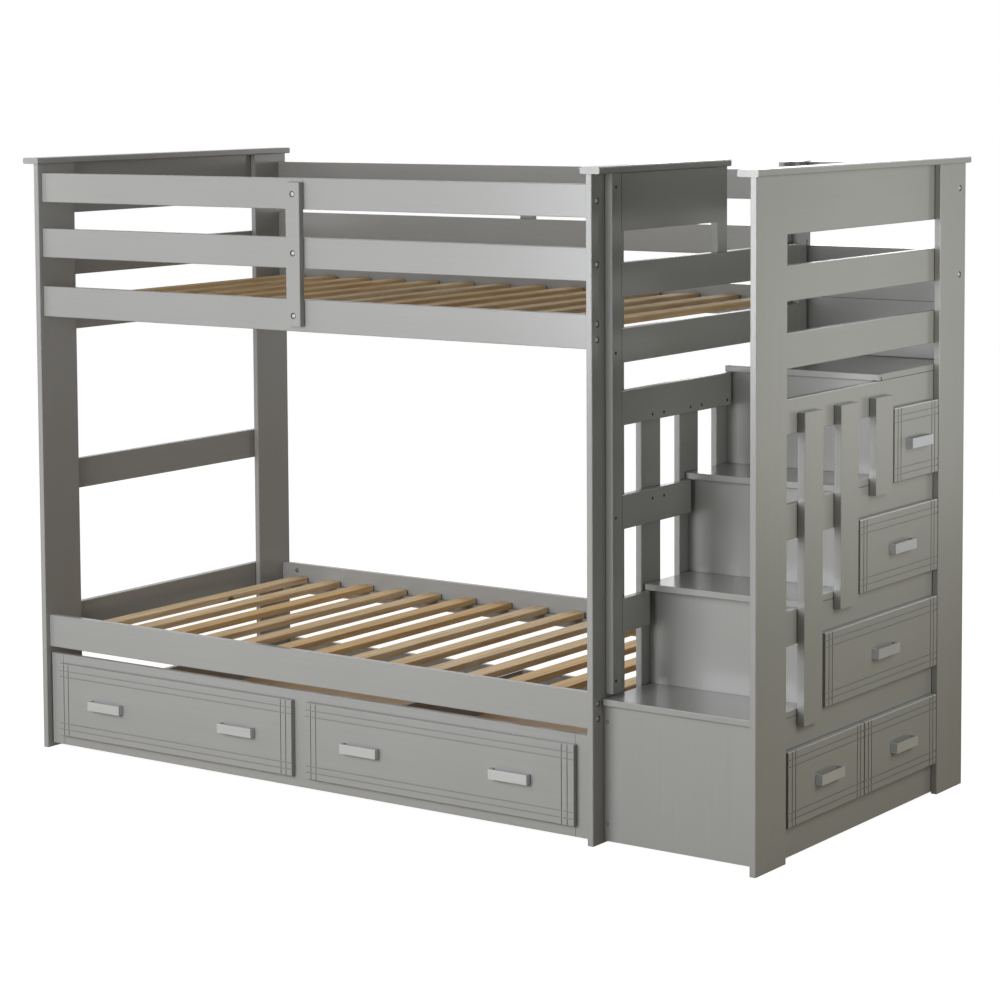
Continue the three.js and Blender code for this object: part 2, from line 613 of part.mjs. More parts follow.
// Cabinet under the stairs: inner side, risers, shelves, divider and runners glued up as one,
// the face frame that the drawers pass through, and the rear boards.
function cabinet(group) {
  const x = [LAYER_X - GLUE, OUTER_LAYER_X - SEAT];
  const solids = [steppedPlate([BUNK_L + SEAT, LAYER_X])];
  STEPS.forEach((step, k) => {
    const foot = k === 0 ? FLOOR_GAP : STEPS[k - 1].top + SEAT;
    solids.push(board(STAIR_X, [step.riser, step.riser + RISER_T], [foot, step.top - TREAD_T], 0));
    solids.push(board([LAYER_X - GLUE, x[1]], [step.riser + RISER_T - GLUE, step.riser + RISER_T + GLUE],
      [foot, step.top - TREAD_T - GLUE], 0));
  });
  const shelfTop = (drawer) => drawer.z[0] - SHELF_DROP;
  for (const drawer of DRAWERS) {
    const start = STEPS[drawer.step].riser + RISER_T - GLUE;
    if (drawer !== DRAWERS[4]) {
      solids.push(board(x, [start, BACK_END], [shelfTop(drawer) - SHELF_T, shelfTop(drawer)], 0));
    }
    solids.push(...runners(x, drawer));
  }
  const between = [boxLimits(DRAWERS[3]).y[1], boxLimits(DRAWERS[4]).y[0]];
  const reach = RUNNER_PLAY + RUNNER_W - GLUE;
  solids.push(board(x, [between[0] + reach, between[1] - reach],
    [shelfTop(DRAWERS[3]) - GLUE, shelfTop(DRAWERS[2]) - SHELF_T + GLUE], 0));
  piece(group, 'cabinet_carcass', paint('grey_paint'), join(solids));

  const frameX = [OUTER_LAYER_X, OUTER_X - SEAT];
  const holes = DRAWERS.map((drawer) => {
    const o = opening(drawer);
    return board([frameX[0] - GLUE, frameX[1] + GLUE], o.y, o.z, 0);
  });
  piece(group, 'stair_face_frame', paint('grey_paint'), cut(steppedPlate(frameX, SEAT), holes));

  const rearY = [BACK_Y, BACK_Y + RAIL_T];
  const joint = POST_H - REAR_JOINT;
  const lowBoard = cut(board(STAIR_X, rearY, [LANDING + SEAT, POST_H - REAR_GAP[0]]), [
    board([STAIR_X[0] - GLUE, STAIR_X[1] + GLUE], [BACK_Y - GLUE, BACK_Y + SEAM],
      [joint - SEAM / 2, joint + SEAM / 2], 0),
  ]);
  piece(group, 'stair_rear_panel', paint('grey_paint'), board(STAIR_X, rearY, [FLOOR_GAP, LANDING]));
  piece(group, 'stair_rear_low_board', paint('grey_paint'), lowBoard);
  piece(group, 'stair_rear_top_board', paint('grey_paint'),
    board(STAIR_X, rearY, [POST_H - REAR_GAP[1], POST_H - REAR_TOP_IN]));
}

// A front with double grooves that cross near its corners. The face looks along +X or -Y.
function groovedFront(faceX, x, y, z) {
  const across = faceX ? y : x;
  const tools = [];
  const g = GROOVE_W / 2;
  for (const inset of GROOVES_IN) {
    for (const c of [across[0] + inset, across[1] - inset]) {
      const lane = [c - g, c + g];
      tools.push(faceX
        ? board([x[1] - GROOVE_DEEP, x[1] + 1], lane, [z[0] - 1, z[1] + 1], 0)
        : board(lane, [y[0] - 1, y[0] + GROOVE_DEEP], [z[0] - 1, z[1] + 1], 0));
    }
    for (const c of [z[0] + inset, z[1] - inset]) {
      const lane = [c - g, c + g];
      tools.push(faceX
        ? board([x[1] - GROOVE_DEEP, x[1] + 1], [y[0] - 1, y[1] + 1], lane, 0)
        : board([x[0] - 1, x[1] + 1], [y[0] - 1, y[0] + GROOVE_DEEP], lane, 0));
    }
  }
  return cut(board(x, y, z, 2), tools);
}

// A flat bar handle on two legs, centred at the given place on a +X or -Y face.
function handle(faceX, along, z, face) {
  const half = HANDLE_L / 2;
  const zz = [z - HANDLE_H / 2, z + HANDLE_H / 2];
  const place = (a, out) => (faceX ? board([face + out[0], face + out[1]], a, zz, 0)
    : board(a, [face - out[1], face - out[0]], zz, 0));
  return join([
    place([along - half, along + half], [HANDLE_OUT - HANDLE_T, HANDLE_OUT]),
    place([along - half, along - half + HANDLE_LEG], [SEAT, HANDLE_OUT - 1]),
    place([along + half - HANDLE_LEG, along + half], [SEAT, HANDLE_OUT - 1]),
  ]);
}

// A drawer box: a block with the room inside it, and the recess under its bottom, cut out.
function drawerBox(x, y, z) {
  const inner = [[x[0] + BOX_T, x[1] - BOX_T], [y[0] + BOX_T, y[1] - BOX_T]];
  const base = z[0] + BOX_BASE_LIFT;
  return cut(board(x, y, z, 0), [
    board(...inner, [base + BOX_BASE_T, z[1] + GLUE], 0),
    board(...inner, [z[0] - GLUE, base], 0),
  ]);
}

function drawers(group) {
  for (const drawer of DRAWERS) {
    const body = new THREE.Group();
    const frontX = [OUTER_X + 2 * SEAT, OUTER_X + 2 * SEAT + FRONT_T];
    piece(body, `${drawer.name}_front`, paint('grey_paint'), groovedFront(true, frontX, drawer.y, drawer.z));
    const { x, y, z } = boxLimits(drawer);
    piece(body, `${drawer.name}_box`, ply('birch_ply'), drawerBox(x, y, z));
    piece(body, `${drawer.name}_handle`, nickel('satin_nickel'),
      handle(true, middleOf(drawer.y), middleOf(drawer.z), frontX[1]));
    group.add(body);
  }
}

// Wheel with a bore, turning about X.
function wheel(x, y) {
  const w = WHEEL_W / 2;
  const profile = [
    [AXLE_R + AXLE_PLAY, -w], [WHEEL_R - 2, -w], [WHEEL_R, -w + 2], [WHEEL_R, w - 2],
    [WHEEL_R - 2, w], [AXLE_R + AXLE_PLAY, w], [AXLE_R + AXLE_PLAY, -w],
  ].map(([r, h]) => new THREE.Vector2(r, h));
  const geometry = new THREE.LatheGeometry(profile, 24);
  geometry.rotateZ(-Math.PI / 2);
  geometry.translate(x, y, WHEEL_R + WHEEL_FLOOR);
  return geometry;
}

// Axle that stands out of a side board, with a boss before the wheel and a head after it.
function axle(face, y, inward) {
  const ends = [-GLUE, WHEEL_OFF - SEAT, WHEEL_OFF + WHEEL_W + SEAT, WHEEL_OFF + WHEEL_W + AXLE_HEAD];
  const profile = [
    [0, ends[0]], [HUB_R, ends[0]], [HUB_R, ends[1]], [AXLE_R, ends[1]],
    [AXLE_R, ends[2]], [HUB_R * 0.7, ends[2]], [HUB_R * 0.7, ends[3]], [0, ends[3]],
  ].map(([r, h]) => new THREE.Vector2(r, h));
  const geometry = new THREE.LatheGeometry(profile, 12);
  geometry.rotateZ(inward > 0 ? -Math.PI / 2 : Math.PI / 2);
  geometry.translate(face, y, WHEEL_R + WHEEL_FLOOR);
  return geometry;
}

// Limits of the two false drawer fronts.
function falseFronts() {
  const middle = middleOf(TRUNDLE_X);
  return [
    [TRUNDLE_X[0] + FALSE_END, middle + FALSE_MID[0]],
    [middle + FALSE_MID[1], TRUNDLE_X[1] - FALSE_END],
  ];
}

function falseHeights() {
  return [TRUNDLE_Z[0] + FALSE_Z[0], TRUNDLE_Z[1] - FALSE_Z[1]];
}

// Front board with its two false drawer fronts, and joint lines at the end stiles.
function trundleFront(x, y, falseY) {
  const seam = (c) => board([c - SEAM / 2, c + SEAM / 2], [y[0] - GLUE, y[0] + SEAM],
    [TRUNDLE_Z[0] - GLUE, TRUNDLE_Z[1] + GLUE], 0);
  const plain = cut(board(x, y, TRUNDLE_Z), [seam(x[0] + TRUNDLE_STILE), seam(x[1] - TRUNDLE_STILE)]);
  const falses = falseFronts().map((span) => groovedFront(false, span, falseY, falseHeights()));
  return join([plain, ...falses]);
}

function trundle(group) {
  const body = new THREE.Group();
  const frontX = TRUNDLE_X;
  const frontY = [TRUNDLE_Y, TRUNDLE_Y + TRUNDLE_T];
  const falseY = [TRUNDLE_Y - FALSE_T, TRUNDLE_Y + GLUE];
  piece(body, 'trundle_front', paint('grey_paint'), trundleFront(frontX, frontY, falseY));
  falseFronts().forEach((x, bay) => {
    [-1, 1].forEach((side, k) => {
      piece(body, `trundle_handle_${2 * bay + k + 1}`, nickel('satin_nickel'),
        handle(false, middleOf(x) + side * FALSE_HANDLE_X, middleOf(falseHeights()), falseY[0]));
    });
  });

  const left = frontX[0] + SIDE_IN;
  const right = frontX[1] - SIDE_IN;
  const mid = middleOf([left, right]);
  const boardY = [frontY[1] + SEAT, TRUNDLE_BACK - TRUNDLE_T + GLUE];
  const solids = [
    board([left, left + TRUNDLE_T], boardY, SIDE_Z),
    board([mid - TRUNDLE_T / 2, mid + TRUNDLE_T / 2], boardY, SIDE_Z),
    board([right - TRUNDLE_T, right], boardY, SIDE_Z),
    board([left, right], [TRUNDLE_BACK - TRUNDLE_T, TRUNDLE_BACK], SIDE_Z),
  ];
  const rows = [['front', TRUNDLE_Y + WHEEL_INSET], ['rear', TRUNDLE_BACK - WHEEL_INSET]];
  const ends = [['left', left + TRUNDLE_T, 1], ['right', right - TRUNDLE_T, -1]];
  for (const [row, y] of rows) {
    for (const [end, face, inward] of ends) {
      solids.push(axle(face, y, inward));
      piece(body, `wheel_${row}_${end}`, nylon('black_nylon'),
        wheel(face + inward * (WHEEL_OFF + WHEEL_W / 2), y));
    }
  }
  piece(body, 'trundle_frame', paint('grey_paint'), join(solids));

  const panelY = [boardY[0], TRUNDLE_BACK - TRUNDLE_T];
  const bays = [
    ['left', [left + TRUNDLE_T, mid - TRUNDLE_T / 2]],
    ['right', [mid + TRUNDLE_T / 2, right - TRUNDLE_T]],
  ];
  for (const [bay, x] of bays) {
    piece(body, `trundle_panel_${bay}`, ply('birch_ply'), panelDeck(x, panelY, TPANEL_TOP));
  }
  group.add(body);
}

const bed = new THREE.Group();
bunkPosts(bed);
outerPosts(bed);
caps(bed);
endBoards(bed);
stairRailings(bed);
guardRails(bed);
bedDecks(bed);
stairs(bed);
cabinet(bed);
drawers(bed);
trundle(bed);

// The finished bed stands on the floor with its outline centred on the origin.
bed.updateMatrixWorld(true);
const bounds = new THREE.Box3().setFromObject(bed);
bed.position.set(-(bounds.min.x + bounds.max.x) / 2, -(bounds.min.y + bounds.max.y) / 2, -bounds.min.z);

const part = new THREE.Group();
part.add(bed);
part.updateMatrixWorld(true);

export default part;
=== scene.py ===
# %% [markdown]
# # A grey bunk bed with a trundle and a stair cabinet
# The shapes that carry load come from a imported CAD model. This lesson dresses that model: it gives
# each board its lacquer or its bare pine, adds the small hardware, lights it like a catalogue
# picture and sets the camera where the photographer stood.

# %% Load the frame
import json
import math

import bmesh
import bpy
from mathutils import Matrix, Vector


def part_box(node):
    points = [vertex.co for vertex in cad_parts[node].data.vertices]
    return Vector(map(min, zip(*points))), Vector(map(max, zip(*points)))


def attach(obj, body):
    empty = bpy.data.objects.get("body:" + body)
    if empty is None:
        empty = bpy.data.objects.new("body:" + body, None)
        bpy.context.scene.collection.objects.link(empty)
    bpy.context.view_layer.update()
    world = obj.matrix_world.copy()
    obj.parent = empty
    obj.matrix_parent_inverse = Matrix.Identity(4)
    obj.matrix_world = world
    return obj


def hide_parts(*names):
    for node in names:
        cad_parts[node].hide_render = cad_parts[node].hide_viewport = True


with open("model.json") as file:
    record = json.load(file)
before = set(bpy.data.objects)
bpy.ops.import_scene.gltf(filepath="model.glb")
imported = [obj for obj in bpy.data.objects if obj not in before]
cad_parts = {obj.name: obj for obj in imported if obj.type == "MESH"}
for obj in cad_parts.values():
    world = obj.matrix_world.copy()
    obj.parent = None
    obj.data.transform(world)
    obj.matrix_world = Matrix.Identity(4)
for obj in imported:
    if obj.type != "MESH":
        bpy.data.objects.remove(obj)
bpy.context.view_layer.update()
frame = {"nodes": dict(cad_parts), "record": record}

# %% [markdown]
# ## Measures
# Boards are easiest to place from one corner of the bed, in millimetres, as a maker would with a
# tape. The corner is the front left foot of the bunk. X runs along the bed, Y towards the wall and
# Z up. Blender works in metres, so one function turns the tape's numbers into Blender's.

# %% Tape measure
MM_PER_M = 1000
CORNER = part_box("left_front_post")[0]


def at(x, y, z):
    """A point measured in millimetres from the bunk's front left foot."""
    return Vector((CORNER.x + x / MM_PER_M, CORNER.y + y / MM_PER_M, z / MM_PER_M))


def tape(node):
    """A node's low and high corners in the same millimetres."""
    return tuple(Vector(((p.x - CORNER.x) * MM_PER_M, (p.y - CORNER.y) * MM_PER_M, p.z * MM_PER_M))
                 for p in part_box(node))


# %% [markdown]
# ## Camera
# The photograph was taken from the stair end, a little above the upper bunk, with a long lens. The
# frame is cut from a larger picture, so the lens is shifted: the point straight ahead of the camera
# lies up and to the left of the picture's middle. The numbers come from fitting the bed's straight
# edges to the picture. Angles are in degrees, and the focal length is in pixels of the picture.

# %% Camera
CAMERA_AT = (5952.8, -6163.9, 2020.3)
CAMERA_YAW, CAMERA_PITCH, CAMERA_ROLL = 36.387, 4.641, -0.439
FOCAL_PX, AHEAD_PX, PICTURE_PX = 2864.1, (417.5, 303.4), 1000
SENSOR_MM, FARTHEST_M = 36, 200


def camera_axes(yaw, pitch, roll):
    """Right, up and forward of a camera that looks along +Y at yaw 0."""
    a, b, c = (math.radians(v) for v in (yaw, pitch, roll))
    ahead = Vector((-math.sin(a) * math.cos(b), math.cos(a) * math.cos(b), -math.sin(b)))
    side = Vector((math.cos(a), math.sin(a), 0))
    top = side.cross(ahead)
    return math.cos(c) * side + math.sin(c) * top, -math.sin(c) * side + math.cos(c) * top, ahead


lens = bpy.data.cameras.new("camera")
camera = bpy.data.objects.new("camera", lens)
bpy.context.scene.collection.objects.link(camera)
right, up, ahead = camera_axes(CAMERA_YAW, CAMERA_PITCH, CAMERA_ROLL)
turned = Matrix((right, up, -ahead)).transposed().to_4x4()
camera.matrix_world = Matrix.Translation(at(*CAMERA_AT)) @ turned
lens.sensor_width = SENSOR_MM
lens.lens = FOCAL_PX / PICTURE_PX * lens.sensor_width
lens.shift_x = 0.5 - AHEAD_PX[0] / PICTURE_PX
lens.shift_y = AHEAD_PX[1] / PICTURE_PX - 0.5
lens.clip_end = FARTHEST_M
bpy.context.scene.camera = camera
print("focal length, mm:", round(lens.lens, 1))

# %% [markdown]
# ## Two small helpers
# Colours are picked from paint cards as sRGB hex codes, but a renderer adds light in linear values,
# so one function turns one into the other. The second helper adds a node to a tree with its
# settings and links. Every material, light and shape below is built with these two.

# %% Helpers for colours and nodes


def linear(code):
    """A hex colour such as '#9A9A97' as linear red, green, blue and alpha."""
    parts = [int(code[i:i + 2], 16) / 255 for i in (1, 3, 5)]
    return tuple(c / 12.92 if c <= 0.04045 else ((c + 0.055) / 1.055) ** 2.4
                 for c in parts) + (1.0,)


def add(tree, kind, inputs=(), **settings):
    """A new node. inputs maps its sockets to values or to the sockets that feed them."""
    node = tree.nodes.new(kind)
    for key, value in settings.items():
        setattr(node, key, value)
    for key, value in dict(inputs).items():
        if isinstance(value, bpy.types.NodeSocket):
            tree.links.new(value, node.inputs[key])
        else:
            node.inputs[key].default_value = value
    return node


print("helpers ready, mid grey is", [round(c, 3) for c in linear("#808080")[:3]])

# %% [markdown]
# ## White floor
# A furniture catalogue uses a white sweep. Here the floor is a matte grey sheet that catches the
# bed's soft shadow, and a glow that only the camera and mirrors see makes it white. The glow is a
# touch weaker close to the bed. In the photograph the lowest boards at the stair end mirror
# something dimmer and warmer than the rest, so the mirrored glow falls off round a spot there.
# Distances are in metres, from the middle of the bed or from that spot.

# %% White floor
WHITE = (1, 1, 1, 1)
NEAR_GLOW, NEAR_FROM, NEAR_TO = 0.94, 2.5, 5.0
MIRRORED_GLOW, DIM_SPOT, DIM_FROM, DIM_REACH = 0.25, (2.2, 1.4, 0), 1.0, 6.5
FLOOR_GREY, WARM_MIRRORED = "#8F8779", "#EFE0C8"
FLOOR_REACH, FLOOR_DROP = 60, 0.001


def white_floor():
    """White to the camera. What the drawers mirror of it is dimmer and warmer near the stairs."""
    material = bpy.data.materials.new("white_sweep")
    material.use_nodes = True
    tree = material.node_tree
    tree.nodes.clear()
    path = add(tree, "ShaderNodeLightPath")
    place = add(tree, "ShaderNodeTexCoord").outputs["Object"]
    away = add(tree, "ShaderNodeVectorMath", {0: place}, operation="LENGTH").outputs["Value"]
    white = add(tree, "ShaderNodeMapRange", {"Value": away, "From Min": NEAR_FROM,
                                             "From Max": NEAR_TO, "To Min": NEAR_GLOW,
                                             "To Max": 1.0})
    aside = add(tree, "ShaderNodeVectorMath", {0: place, 1: DIM_SPOT}, operation="DISTANCE")
    far = add(tree, "ShaderNodeMapRange", {"Value": aside.outputs["Value"], "From Min": DIM_FROM,
                                           "From Max": DIM_REACH})
    mirrored = add(tree, "ShaderNodeMapRange", {"Value": far.outputs[0], "To Min": MIRRORED_GLOW,
                                                "To Max": 1.0})
    to_camera = add(tree, "ShaderNodeMath", {0: path.outputs["Is Camera Ray"],
                                             1: white.outputs[0]}, operation="MULTIPLY")
    to_mirror = add(tree, "ShaderNodeMath", {0: path.outputs["Is Glossy Ray"],
                                             1: mirrored.outputs[0]}, operation="MULTIPLY")
    matte = add(tree, "ShaderNodeBsdfDiffuse", {"Color": linear(FLOOR_GREY)})
    plain = add(tree, "ShaderNodeEmission", {"Color": WHITE, "Strength": to_camera.outputs[0]})
    toned = add(tree, "ShaderNodeMix", {"Factor": far.outputs[0], "A": linear(WARM_MIRRORED),
                                        "B": WHITE}, data_type="RGBA")
    warmed = add(tree, "ShaderNodeEmission", {"Color": toned.outputs[2],
                                              "Strength": to_mirror.outputs[0]})
    light = add(tree, "ShaderNodeAddShader", {0: plain.outputs[0], 1: warmed.outputs[0]})
    both = add(tree, "ShaderNodeAddShader", {0: matte.outputs[0], 1: light.outputs[0]})
    add(tree, "ShaderNodeOutputMaterial", {"Surface": both.outputs[0]})
    return material


floor_mesh = bpy.data.meshes.new("floor")
floor_mesh.from_pydata([(-FLOOR_REACH, -FLOOR_REACH, 0), (FLOOR_REACH, -FLOOR_REACH, 0),
                        (FLOOR_REACH, FLOOR_REACH, 0), (-FLOOR_REACH, FLOOR_REACH, 0)], [],
                       [(0, 1, 2, 3)])
floor = bpy.data.objects.new("floor", floor_mesh)
bpy.context.scene.collection.objects.link(floor)
floor.data.materials.append(white_floor())
floor.location.z = -FLOOR_DROP
print("floor half-width, m:", FLOOR_REACH)

# %% [markdown]
# ## White world
# The wall behind the bed is the world itself. The camera and mirrors see it as pure white, and it
# gives the boards almost no light of its own, so the soft boxes alone shape them.

# %% World
WORLD_LEVEL = 0.02
world = bpy.data.worlds.new("studio")
bpy.context.scene.world = world
world.use_nodes = True
tree = world.node_tree
tree.nodes.clear()
path = add(tree, "ShaderNodeLightPath")
seen = add(tree, "ShaderNodeMath", {0: path.outputs["Is Camera Ray"],
                                    1: path.outputs["Is Glossy Ray"]},
           operation="ADD", use_clamp=True)
seen = add(tree, "ShaderNodeMath", {0: seen.outputs[0], 1: path.outputs["Is Transmission Ray"]},
           operation="ADD", use_clamp=True)
level = add(tree, "ShaderNodeMapRange", {"Value": seen.outputs[0], "To Min": WORLD_LEVEL,
                                         "To Max": 1.0})
sky = add(tree, "ShaderNodeBackground", {"Color": WHITE, "Strength": level.outputs[0]})
add(tree, "ShaderNodeOutputWorld", {"Surface": sky.outputs[0]})
view = bpy.context.scene.view_settings
view.view_transform = "Standard"
print("world level for diffuse light:", WORLD_LEVEL)

# %% [markdown]
# ## Soft boxes
# Eight soft boxes light the bed. The key and the high box stand in front, a little to the left, so
# the long rails grow brighter towards the right, where they mirror them, and a wide one fills in.
# One on the left lifts the left end, a narrow one the stairs. Two small warm ones graze the
# drawers and the outer end frame, and a big one by the wall lifts the rear rails and the slats.
# The boards between the bunks and the stairs face away from all of them and stay dark.
# Each row is a name, its place and target on the tape, its size in metres, its power in watts
# and its tint.

# %% Soft boxes
COOL, WARM, PLAIN = "#F8FBFF", "#FEFFF4", "#FFFFFF"


def soft_box(name, place, target, size, power, tint):
    """A rectangular lamp at place that looks at target."""
    lamp = bpy.data.lights.new(name, "AREA")
    lamp.color = linear(tint)[:3]
    lamp.shape = "RECTANGLE"
    lamp.size, lamp.size_y = size
    lamp.energy = power
    box = bpy.data.objects.new(name, lamp)
    bpy.context.scene.collection.objects.link(box)
    box.location = at(*place)
    box.rotation_euler = (at(*target) - box.location).to_track_quat("-Z", "Y").to_euler()


for row in (
        ("key_box", (300, -4200, 1500), (1500, 0, 1000), (2.2, 1.6), 82, COOL),
        ("high_box", (1000, -4500, 2600), (1300, 0, 900), (2.6, 2.5), 108, PLAIN),
        ("wide_box", (-600, -4200, 1900), (1500, 0, 900), (3, 2.4), 13, PLAIN),
        ("left_box", (-3200, -1800, 2300), (500, 400, 800), (2, 2), 42, PLAIN),
        ("step_box", (2300, -3000, 1200), (2250, 0, 900), (0.9, 1.5), 14, COOL),
        ("drawer_box", (3800, 900, 1400), (2450, 700, 900), (1.4, 1.8), 12.5, WARM),
        ("end_box", (3700, 150, 1300), (2450, 300, 1200), (0.8, 0.8), 6, WARM),
        ("wall_box", (1200, 4500, 2600), (1200, 600, 800), (4, 2.5), 64, PLAIN)):
    soft_box(*row)
print("lamps:", [lamp.name for lamp in bpy.data.lights])

# %% [markdown]
# ## One shader for each finish
# Every finish below is one principled shader. A helper makes the material with its shader, another
# sets or links the shader's sockets, and a third turns a real size in millimetres into the Scale of
# a noise texture. A value that is the same all over goes straight onto the shader's socket.

# %% Helpers for finishes


def fresh(name):
    """An empty material with one principled shader."""
    material = bpy.data.materials.new(name)
    material.use_nodes = True
    tree = material.node_tree
    tree.nodes.clear()
    surface = add(tree, "ShaderNodeBsdfPrincipled")
    add(tree, "ShaderNodeOutputMaterial", {"Surface": surface.outputs[0]})
    return material, tree, surface


def wire(tree, surface, inputs):
    """Sets the shader's sockets to values, or links them."""
    for key, value in inputs.items():
        if isinstance(value, bpy.types.NodeSocket):
            tree.links.new(value, surface.inputs[key])
        else:
            surface.inputs[key].default_value = value


def per_metre(size_mm):
    """The Scale of a noise texture whose features are about size_mm wide."""
    return MM_PER_M / size_mm


print("a 5 mm pattern has scale", per_metre(5))

# %% [markdown]
# ## Satin grey lacquer
# The boards are solid wood and MDF, sprayed with a satin polyurethane lacquer. Sprayed lacquer is
# even, but not perfect: its colour drifts by a percent or two over a board, the wood's grain
# telegraphs through as faint streaks along the board, and its skin has a fine orange peel about a
# millimetre and a half across. Where boards meet, and in the grooves, an ambient occlusion node
# darkens the colour: that is painted shade. It shines softly, at a roughness near 0.2. Grain needs a
# direction, so there is one lacquer for boards that run along X, one for Y and one for Z.

# %% Lacquer material
LIGHT_GREY, DARK_GREY = "#9E9E9C", "#989896"
GRAIN_MM, DRIFT_MM, MOTTLE_MM, PEEL_MM = 5, 420, 9, 1.6
GRAIN_STRETCH, GRAIN_SHARE, DARKEST, LIGHTEST = 0.012, 0.9, 0.55, 1.35
CREVICE_M, CLOSED, OPEN, SEAM_SHADE = 0.007, 0.35, 0.8, 0.55
SMOOTHEST, ROUGHEST, LACQUER_IOR = 0.16, 0.25, 1.5


def satin_lacquer(name, stretch):
    """Grain runs along the axis whose stretch value is small."""
    material, tree, surface = fresh(name)
    place = add(tree, "ShaderNodeTexCoord").outputs["Object"]
    along = add(tree, "ShaderNodeMapping", {"Vector": place, "Scale": stretch})
    grain = add(tree, "ShaderNodeTexNoise", {"Vector": along.outputs[0], "Detail": 4,
                                             "Scale": per_metre(GRAIN_MM), "Roughness": 0.6})
    drift = add(tree, "ShaderNodeTexNoise", {"Vector": place, "Scale": per_metre(DRIFT_MM),
                                             "Detail": 3})
    mottle = add(tree, "ShaderNodeTexNoise", {"Vector": place, "Scale": per_metre(MOTTLE_MM),
                                              "Detail": 2})
    blend = add(tree, "ShaderNodeMath", {0: grain.outputs[0], 1: GRAIN_SHARE,
                                         2: drift.outputs[0]}, operation="MULTIPLY_ADD")
    tone = add(tree, "ShaderNodeMapRange", {"Value": blend.outputs[0], "From Min": DARKEST,
                                            "From Max": LIGHTEST})
    colour = add(tree, "ShaderNodeMix", {"Factor": tone.outputs[0], "A": linear(DARK_GREY),
                                         "B": linear(LIGHT_GREY)}, data_type="RGBA")
    skin = add(tree, "ShaderNodeTexNoise", {"Vector": place, "Scale": per_metre(PEEL_MM),
                                            "Detail": 1})
    # Painted shade: the colour darkens where the ambient occlusion node finds other surfaces close
    # by, in seams, grooves and inner corners.
    open_air = add(tree, "ShaderNodeAmbientOcclusion", {"Distance": CREVICE_M}, samples=4)
    painted_seam_shade = add(tree, "ShaderNodeMapRange", {"Value": open_air.outputs["AO"], "From Min": CLOSED,
                                             "From Max": OPEN, "To Min": SEAM_SHADE})
    shaded = add(tree, "ShaderNodeVectorMath", {0: colour.outputs[2], "Scale": painted_seam_shade.outputs[0]},
                 operation="SCALE")
    peeled = add(tree, "ShaderNodeBump", {"Height": skin.outputs[0], "Strength": 0.12,
                                          "Distance": 0.0003})
    bump = add(tree, "ShaderNodeBump", {"Height": grain.outputs[0], "Strength": 0.1,
                                        "Distance": 0.00006, "Normal": peeled.outputs[0]})
    rough = add(tree, "ShaderNodeMapRange", {"Value": mottle.outputs[0], "To Min": SMOOTHEST,
                                             "To Max": ROUGHEST})
    wire(tree, surface, {"Base Color": shaded.outputs[0], "Roughness": rough.outputs[0],
                         "Normal": bump.outputs[0], "IOR": LACQUER_IOR})
    return material


lacquer = {axis: satin_lacquer(f"satin_polyurethane_lacquer_along_{axis}",
                               [GRAIN_STRETCH if axis == letter else 1 for letter in "xyz"])
           for axis in "xyz"}
print("made", [material.name for material in lacquer.values()])

# %% [markdown]
# ## Bare pine
# The slats are sawn and planed pine with no finish. Growth rings show as long streaks, about a
# centimetre apart, that run with the slat; here and there a knot interrupts them. Each slat is cut
# from another board, so its tone and its streaks are its own: both come from a random number that
# the slat carries as its attribute named board. Bare wood scatters light, so it is rough.

# %% Pine material
RING_MM, FIBRE_MM, KNOT_MM = 11, 1.6, 150
RING_STRETCH, KNOT_STRETCH, BOARD_SHIFT = (1, 0.045, 1), (1, 0.55, 1), (31.0, 17.0, 9.0)
RING_PALE, RING_DARK, RING_SHARE = 0.44, 0.68, 0.75
KNOT_HEART, KNOT_RIM, BARE_ROUGH = 0.035, 0.075, 0.68


def bare_pine(name, pale, warm, streak, knot):
    """Sawn pine whose grain runs along Y, from a pale or a warm board."""
    material, tree, surface = fresh(name)
    place = add(tree, "ShaderNodeTexCoord").outputs["Object"]
    board = add(tree, "ShaderNodeAttribute", attribute_name="board")
    shift = add(tree, "ShaderNodeVectorMath", {0: board.outputs["Fac"], 1: BOARD_SHIFT},
                operation="MULTIPLY")
    moved = add(tree, "ShaderNodeVectorMath", {0: place, 1: shift.outputs[0]}, operation="ADD")
    along = add(tree, "ShaderNodeMapping", {"Vector": moved.outputs[0], "Scale": RING_STRETCH})
    rings = add(tree, "ShaderNodeTexNoise", {"Vector": along.outputs[0], "Detail": 5,
                                             "Scale": per_metre(RING_MM), "Roughness": 0.62})
    fibre = add(tree, "ShaderNodeTexNoise", {"Vector": along.outputs[0], "Detail": 3,
                                             "Scale": per_metre(FIBRE_MM)})
    eased = add(tree, "ShaderNodeMapping", {"Vector": moved.outputs[0], "Scale": KNOT_STRETCH})
    spots = add(tree, "ShaderNodeTexVoronoi", {"Vector": eased.outputs[0],
                                               "Scale": per_metre(KNOT_MM)})
    knots = add(tree, "ShaderNodeMapRange", {"Value": spots.outputs["Distance"],
                                             "From Min": KNOT_HEART, "From Max": KNOT_RIM,
                                             "To Min": 1.0, "To Max": 0.0})
    base = add(tree, "ShaderNodeMix", {"Factor": board.outputs["Fac"], "A": linear(pale),
                                       "B": linear(warm)}, data_type="RGBA")
    lines = add(tree, "ShaderNodeMapRange", {"Value": rings.outputs[0], "From Min": RING_PALE,
                                             "From Max": RING_DARK, "To Max": RING_SHARE})
    ringed = add(tree, "ShaderNodeMix", {"Factor": lines.outputs[0], "A": base.outputs[2],
                                         "B": linear(streak)}, data_type="RGBA")
    colour = add(tree, "ShaderNodeMix", {"Factor": knots.outputs[0], "A": ringed.outputs[2],
                                         "B": linear(knot)}, data_type="RGBA")
    bump = add(tree, "ShaderNodeBump", {"Height": fibre.outputs[0], "Strength": 0.35,
                                        "Distance": 0.0004})
    wire(tree, surface, {"Base Color": colour.outputs[2], "Roughness": BARE_ROUGH,
                         "Normal": bump.outputs[0]})
    return material


